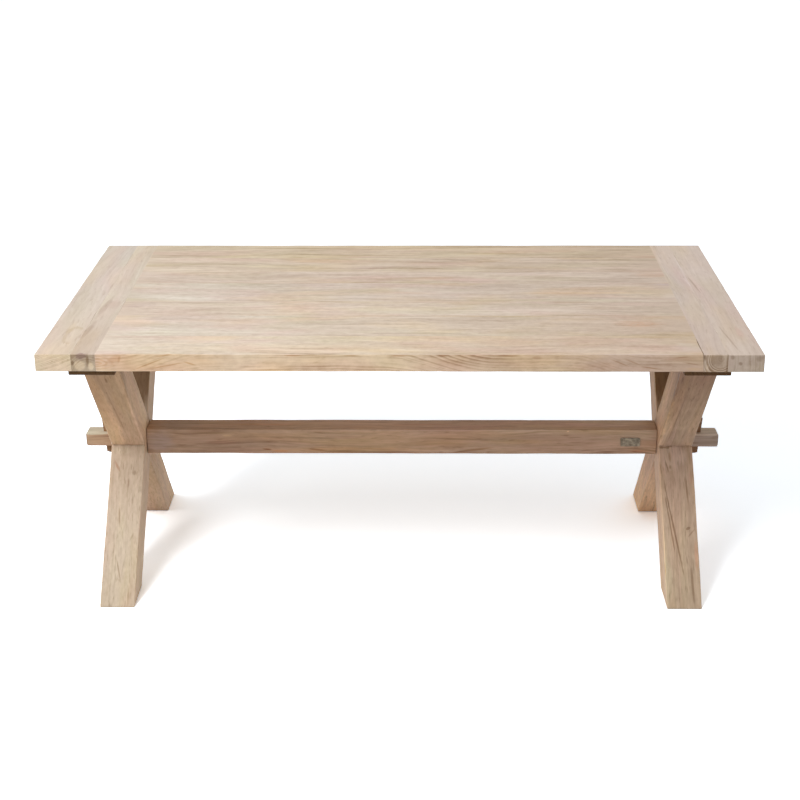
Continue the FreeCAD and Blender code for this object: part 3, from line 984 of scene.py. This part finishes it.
# Marks on the front faces of the legs: x and z of the middle, reach along and across in mm, tint and,
# where they aren't the usual ones, share, slant and rings
LEG_MARKS_AND_PAINTED_LIGHT = {
    "left_leg_front": (
        (-797, 303, 22, 5, (0.86, 0.72, 0.66), 1.0, -0.5),
        (-748, 288, 10, 8, (0.74, 0.70, 0.66)),
        (-781, 192, 40, 3.5, (0.68, 0.62, 0.56), 1.0, -0.05),
        (-762, 266, 18, 3, (0.78, 0.72, 0.68)),
        (-790, 279, 18, 3, STAIN),
        (-748, 228, 22, 4, STAIN),
        (-717, 105, 110, 3, PALE),
        # Painted shade on the upper limb's face under the table top
        (-770, 560, 230, 80, (0.62, 0.53, 0.44)),
        (-770, 349, 3, 70, STAIN, 0.9),
        (-785, 338, 14, 34, (1.02, 1.05, 1.04)),
        (-774, 81, 42, 3, (0.74, 0.68, 0.63), 1.0, -0.24),
        (-762, 84, 32, 3, STAIN, 1.0, 0.1),
        (-770, 121, 20, 6, STAIN),
        (-743, 149, 16, 4, STAIN, 1.0, 0.4),
        (-742, 25, 32, 3.5, (0.80, 0.75, 0.70)),
    ),
    "left_leg_back": (
        (-807, 500, 290, 36, (1.25, 1.23, 1.18), 1.0, -0.047),
        (-805, 440, 130, 26, YELLOW, 0.5, -0.047),
        (-771, 500, 215, 3.5, (0.80, 0.75, 0.70), 0.9, -0.047),
        (-738, 470, 60, 3, STAIN, 0.9, -0.03),
        (-765, 637, 20, 5, DEEP),
        (-727, 630, 75, 16, (1.18, 1.20, 1.22)),
    ),
    "right_leg_front": (
        # Painted light on the lower limb just below the crossing, where the table top's shadow falls
        (757, 328, 48, 46, (1.20, 1.25, 1.32)),
        (744, 303, 20, 3, DEEP, 1.0, -0.21),
        (752, 303, 10, 7, DEEP, 0.8),
        (753, 325, 20, 6, (0.78, 0.71, 0.66)),
        (752, 174, 225, 3, (0.58, 0.52, 0.46), 1.0, -0.154),
        (744, 172, 133, 2.8, (0.64, 0.58, 0.52), 1.0, -0.114),
        (795, 248, 54, 3.5, (0.72, 0.66, 0.60), 1.0, -0.058),
        (795, 50, 84, 4.5, DEEP, 0.9, -0.027),
        (722, 86, 30, 3.5, (0.78, 0.66, 0.52), 0.9),
        (724, 60, 80, 20, (1.04, 1.10, 1.08)),
        (810, 112, 60, 6, (1.08, 0.91, 0.86)),
        (807, 277, 26, 8, PINK),
        (724, 112, 130, 8, (1.13, 1.15, 1.08), 0.9),
        (792, 170, 12, 14, DEEP, 1.0, 0.5, 1.2),
        (800, 160, 16, 4, DEEP, 0.7, 0.8),
        # Painted shade on the upper limb's face under the table top
        (770, 560, 230, 80, (0.55, 0.46, 0.34)),
        (770, 348, 3, 70, STAIN, 0.9),
        (738, 346, 4, 17, DEEP, 0.9),
        (756, 349, 4, 8, DEEP, 0.8),
        (814, 348, 3, 10, DEEP, 0.9),
    ),
    "right_leg_back": (
        (733, 470, 290, 17, (1.18, 1.18, 1.12), 1.0, 0.037),
        (750, 472, 190, 3, (0.78, 0.74, 0.70), 0.9, 0.037),
        (775, 385, 60, 60, (0.88, 0.88, 0.90)),
    ),
}
# Figure of the stretcher's front, in the same way
STRETCHER_FIGURE = (
    (-690, 350, 60, 60, (0.97, 1.04, 1.22)),
    (680, 370, 90, 22, (1.02, 1.06, 1.10)),
    (-650, 334, 70, 3, STAIN),
    (-540, 375, 70, 5, (0.90, 0.91, 0.84)),
    (-492, 368, 18, 5, (1.16, 1.22, 1.12)),
    (-506, 346, 60, 7, PINK),
    (-310, 362, 190, 5, (0.80, 0.77, 0.76), 0.9, -0.02),
    (-320, 350, 130, 3, (0.84, 0.80, 0.77), 0.9, -0.035),
    (-150, 364, 80, 6, MAUVE),
    (-130, 380, 190, 7, (1.07, 1.06, 1.02)),
    (-75, 343, 30, 3, PALE),
    (-150, 324, 330, 12, (1.05, 1.0, 0.90)),
    (-380, 326, 18, 3.5, (0.58, 0.42, 0.34), 1.0, -0.08),
    (-345, 321, 36, 4, (1.08, 0.88, 0.76)),
    (-238, 325, 32, 3.5, (0.72, 0.60, 0.52), 1.0, -0.08),
    (165, 358, 140, 4, (0.78, 0.75, 0.72), 0.9, -0.03),
    (212, 326, 75, 5, (0.76, 0.66, 0.58), 1.0, 0.13),
    (110, 345, 120, 8, (0.95, 0.94, 0.90)),
    (330, 350, 120, 10, YELLOW, 0.8),
    (470, 382, 5, 3, (1.5, 1.55, 1.55)),
    (490, 338, 60, 3, STAIN, 0.8),
    (655, 330, 70, 4, STAIN, 1.0, 0.03),
    (672, 322, 40, 4, (1.08, 0.87, 0.80)),
)
STRETCHER_MARKS_AND_PAINTED_LIGHT = [
    Mark((-865, 0, 350), (60, 80, 80), (0.81, 0.81, 0.84), soft=0.3),
    # Painted light: the left tenon's top face lighter and bluer, as lit from above
    Mark((-865, 0, 369), (60, 80, 5), (1.29, 1.72, 1.95), soft=0.4),
    Mark((870, 0, 350), (70, 80, 80), (0.74, 0.79, 0.92), soft=0.3),
    # Painted light: the right tenon's top face lighter, as lit from above
    Mark((870, 0, 369), (70, 80, 5), (1.36, 1.42, 1.36), soft=0.4),
    # Painted light: the stretcher's top face lighter and bluer along most of its length
    Mark((200, 0, 388), (700, 80, 8), (1.09, 1.13, 1.22), soft=0.5),
    Mark((-400, 0, 388), (160, 8, 8), RUST),
    Mark((60, 0, 388), (120, 8, 8), RUST),
    # Painted shade on the top face near the left leg, painted light on it near the right
    Mark((-640, 0, 388), (90, 60, 8), (0.88, 0.93, 0.99)),
    Mark((600, 0, 388), (190, 80, 8), (1.16, 1.18, 1.20)),
    # Painted shade along the upper back and lower front edges, and on the front towards the left end
    Mark((0, 38, 388), (900, 4, 4), DEEP, 0.8),
    Mark((0, -38, 312), (900, 4, 4), DEEP, 0.8),
    Mark((-560, -38, 350), (230, 12, 60), (0.86, 0.855, 0.87), soft=0.5),
]

PLANKS = 7
KNOT_PLANK = 6
# How the figure changes from the back plank to the front one: a base and a step for each plank
PLANK_FIGURE = {"Streaks": (0.72, -0.038), "Broad": (1.75, -0.12), "Shortness": (1.0, 0.1)}
PLANK_CALM = 0.45
# Where the pith of even and odd planks lies across them, and how far above or below, in metres
PLANK_PITHS = (-0.11, 0.14)
PITH_DEPTH = 0.05
FRONT_PITH = (0.0, -0.25)
# How deep marks on the top, on the fronts and on the legs go, in mm
PATCH_DEPTH = 12
FRONT_DEPTH = 9
LEG_DEPTH = 8
# Where the fronts of the top and of the stretcher lie, in mm, and how ragged their figures are
TOP_FRONT = (-500, 0.3)
STRETCHER_FRONT = (-37.5, 0.35)
# On the legs, marks wider than this are patches with a sharper rim
PATCH_WIDTH = 15
PATCH_SOFT = 0.35
LINE_SOFT = 0.7
# Marks this much wider than long run across the grain, and cracks are longer and narrower than this
ACROSS_RATIO = 3
CRACK_LENGTH = 100
CRACK_WIDTH = 4
ACROSS_RAGGED = 0.9
CRACK_RAGGED = 0.6
LEG_RAGGED = 0.3
# The right legs have more figure than the left ones
RIGHT_LEG_FIGURE = {"Rings": 0.19, "Lines": 0.12, "Streaks": 0.30, "Shortness": 1.0}


def front_mark(y, ragged, x, z, reach_x, reach_z, tint, share=1.0, tilt=0.0):
    return Mark((x, y, z), (reach_x, FRONT_DEPTH, reach_z), tint, share, tilt=tilt, ragged=ragged)


def top_marks(stick):
    """The patches of the top that lie on this plank."""
    top = stick.middle.z / MM + stick.half.z / MM
    marks = []
    for x, y, half_length, half_width, tint, share in TOP_PATCHES:
        if abs(y * MM - stick.middle.y) < stick.half.y:
            marks.append(Mark((x, y, top), (half_length, half_width, PATCH_DEPTH), tint, share))
    return marks


def plank_look(index, stick):
    look = dict(TOP_LOOK, marks=top_marks(stick))
    look["Start"], look["Halfway"], look["Finish"] = PLANK_TINTS[index - 1]
    for name, (base, step) in PLANK_FIGURE.items():
        look[name] = base + step * index
    look["Calm Ends"] = PLANK_CALM
    look["pith"] = (PLANK_PITHS[index % 2], PITH_DEPTH * (-1) ** (index // 2))
    if index == KNOT_PLANK:
        look["marks"].append(TOP_KNOT)
    if index == PLANKS:
        look["pith"] = FRONT_PITH
        look["bends"] = FRONT_EDGE_BENDS
        look["marks"].append(FRONT_KNOT)
        look["marks"] += [front_mark(*TOP_FRONT, *row) for row in FRONT_FIGURE]
    return look


def end_board_look(node):
    pith, spacing, strength, tint = END_GRAINS[node]
    look = dict(END_LOOK, pith=pith, Spacing=spacing, End=tint, marks=END_MARKS[node])
    look["End Rings"] = strength
    look["Start"], look["Halfway"], look["Finish"] = END_TINTS[node]
    return look


def leg_point(stick, x, z):
    """The point at this x and this height, in mm, on the face that looks to the front."""
    w = stick.half.z if stick.node.endswith("front") else -stick.half.z
    u = (z * MM - stick.middle.z - stick.through.z * w) / stick.along.z
    point = stick.middle + stick.along * u + stick.through * w
    point.x = x * MM
    return point / MM


def leg_mark(stick, x, z, reach_u, reach_v, tint, share=1.0, slant=0.0, rings=0.0):
    ragged = LEG_RAGGED
    if reach_v > ACROSS_RATIO * reach_u:
        ragged = ACROSS_RAGGED
    elif reach_u > CRACK_LENGTH and reach_v < CRACK_WIDTH:
        ragged = CRACK_RAGGED
    soft = PATCH_SOFT if reach_v > PATCH_WIDTH else LINE_SOFT
    middle = leg_point(stick, x, z)
    return Mark(middle, (reach_u, reach_v, LEG_DEPTH), tint, share, slant, 0.0, rings, soft, ragged)


def leg_look(stick):
    # The tint at the top of a leg is painted shade, and its side tint is painted light
    light, dark, start, halfway, painted_top_shade, side = LEG_TONES_AND_PAINTED_LIGHT[stick.node]
    look = dict(LEG_LOOK, Light=light, Dark=dark, Start=start, Halfway=halfway, Finish=painted_top_shade, Side=side)
    if stick.node.startswith("right"):
        look.update(RIGHT_LEG_FIGURE)
    look["marks"] = [leg_mark(stick, *row) for row in LEG_MARKS_AND_PAINTED_LIGHT[stick.node]]
    if stick.node in PAINTED_LIGHT_INNER_SIDES:
        look["marks"].append(PAINTED_LIGHT_INNER_SIDES[stick.node])
    return look


def build_plank(index):
    stick = Stick(f"top_plank_{index}", X_AXIS, Y_AXIS)
    seams = {(0, -1): 0.0, (0, 1): 0.0}
    if index > 1:
        seams[1, 1] = SEAM_GAP
    if index < PLANKS:
        seams[1, -1] = SEAM_GAP
    refined_piece(stick, plank_look(index, stick), "table", "planks", seams, **TOP_WEAR)


def build_end_board(side, sign, place):
    stick = Stick(f"{side}_end_{place}_board", Y_AXIS, X_AXIS)
    seams = {(1, -sign): SEAM_GAP}
    if place == "inner":
        seams = {(1, -sign): 0.0, (1, sign): SEAM_GAP}
    refined_piece(stick, end_board_look(stick.node), "table", "end_boards", seams, **TOP_WEAR)


def build_batten(side):
    stick = Stick(f"{side}_batten", Y_AXIS, X_AXIS)
    refined_piece(stick, BATTEN_SHADE_LOOK, "table", "battens", (), **LEG_WEAR)


def build_leg(side, place, lean):
    stick = Stick(f"{side}_leg_{place}", lean, X_AXIS)
    refined_piece(stick, leg_look(stick), "table", "legs", (), **LEG_WEAR)


def build_wedge(side):
    stick = Stick(f"{side}_wedge", Z_AXIS, X_AXIS)
    refined_piece(stick, WEDGE_LOOK, f"{side}_wedge", "wedges", (), **WEDGE_WEAR)


def build_stretcher():
    stick = Stick("stretcher", X_AXIS, Y_AXIS)
    figures = [front_mark(*STRETCHER_FRONT, *row) for row in STRETCHER_FIGURE]
    look = dict(STRETCHER_LOOK, marks=STRETCHER_MARKS_AND_PAINTED_LIGHT + figures)
    refined_piece(stick, look, "table", "stretcher", (), **LEG_WEAR)


def cover(node, material):
    """Gives a CAD piece that stays its finish."""
    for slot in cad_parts[node].material_slots:
        slot.material = material


def cover_hidden(node, along, across):
    cover(node, wood_material(Stick(node, along, across), HIDDEN_LOOK))


def build_wood():
    """The order stays, because it gives the pieces their seeds."""
    for index in range(1, PLANKS + 1):
        build_plank(index)
    for side, sign in (("left", -1), ("right", 1)):
        build_end_board(side, sign, "inner")
        build_end_board(side, sign, "outer")
        build_batten(side)
        build_leg(side, "front", LEAN_BACK)
        build_leg(side, "back", LEAN_FRONT)
        build_wedge(side)
    build_stretcher()
    for node in ("left_end_tongue", "right_end_tongue", "plank_dowels"):
        cover_hidden(node, Y_AXIS, X_AXIS)
    cover_hidden("end_dowels", X_AXIS, Y_AXIS)


# The two metals: light and dark, how many clouds of tarnish lie in a metre, and how rough they are
PLATE_METAL = (paint(134, 121, 103), paint(66, 57, 48), 140, 0.45)
SCREW_METAL = (paint(200, 194, 180), paint(150, 144, 132), 220, 0.4)
# How much finer than the clouds the scratches are along x, y and z
SCRATCH_STRETCH = (0.6, 9, 14)
CLOUD_SHARE = 0.6
SCRATCH_SHARE = 0.5
TARNISH_LEVELS = (0.35, 0.75)
CLOUD_ROUGH = 0.3
SCRATCH_STRENGTH = 0.3
SCRATCH_DEPTH = 0.0001


def metal_material(name, light, dark, scale, rough):
    """Worn metal: a cloudy tarnish and fine scratches across it."""
    material, net = empty_material(name)
    point = net.node("ShaderNodeTexCoord", {}).outputs["Object"]
    cloud = net.noise(point, (scale, scale, scale), 3.0, 0.6)
    scratch = net.noise(point, [scale * stretch for stretch in SCRATCH_STRETCH], 2.0, 0.6)
    share = net.total(0.0, ((cloud, CLOUD_SHARE), (scratch, SCRATCH_SHARE)))
    bump = {"Height": scratch, "Strength": SCRATCH_STRENGTH, "Distance": SCRATCH_DEPTH}
    surface = net.node("ShaderNodeBsdfPrincipled", {
        "Base Color": net.mix(net.ramp(share, *TARNISH_LEVELS), dark, light),
        "Metallic": 1.0,
        "Roughness": net.math("MULTIPLY_ADD", cloud, CLOUD_ROUGH, rough - CLOUD_ROUGH / 2),
        "Normal": net.node("ShaderNodeBump", bump).outputs[0],
    })
    net.node("ShaderNodeOutputMaterial", {"Surface": surface.outputs[0]})
    return material


def build_metal():
    plate = metal_material("worn_plate", *PLATE_METAL)
    zinc = metal_material("zinc_plate", *SCREW_METAL)
    for node in ("plate", "plate_pins"):
        cover(node, plate)
    for node in ("leg_screws", "top_screws"):
        cover(node, zinc)


make_camera()
make_floor()
make_lights()
build_wood()
build_metal()
